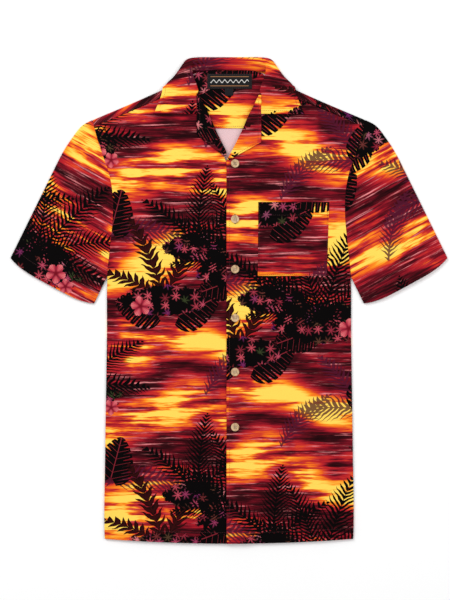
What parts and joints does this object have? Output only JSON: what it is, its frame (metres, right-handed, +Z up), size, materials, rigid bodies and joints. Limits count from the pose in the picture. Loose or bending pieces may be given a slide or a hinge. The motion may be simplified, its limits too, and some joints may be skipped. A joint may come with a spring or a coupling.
{
  "type": "hawaiian shirt",
  "caption": "Short-sleeved camp-collar shirt with a buttoned front, a chest pocket and a yoke over the shoulders, laid flat on its back.",
  "frame": {"origin": "middle of the shirt's length and width, on the surface that it lies on", "axes": "+X towards the wearer's left sleeve, +Y from the hem towards the collar, +Z up from the surface"},
  "size_m": [0.7422, 0.8259, 0.0159],
  "materials": {
    "print_cloth": "soft plain-woven viscose, printed dark red to orange",
    "label_weave": "woven dark satin label",
    "button": "pale horn-look, satin"
  },
  "bodies": {
    "root": {"back": "print_cloth", "yoke": "print_cloth", "yoke_facing": "print_cloth", "right_front": "print_cloth", "left_front": "print_cloth", "right_lapel": "print_cloth", "left_lapel": "print_cloth", "collar": "print_cloth", "left_sleeve": "print_cloth", "right_sleeve": "print_cloth", "pocket": "print_cloth", "label": "label_weave", "size_tab": "label_weave", "button_1": "button", "button_2": "button", "button_3": "button", "button_4": "button", "button_5": "button", "button_6": "button"}
  },
  "joints": []
}
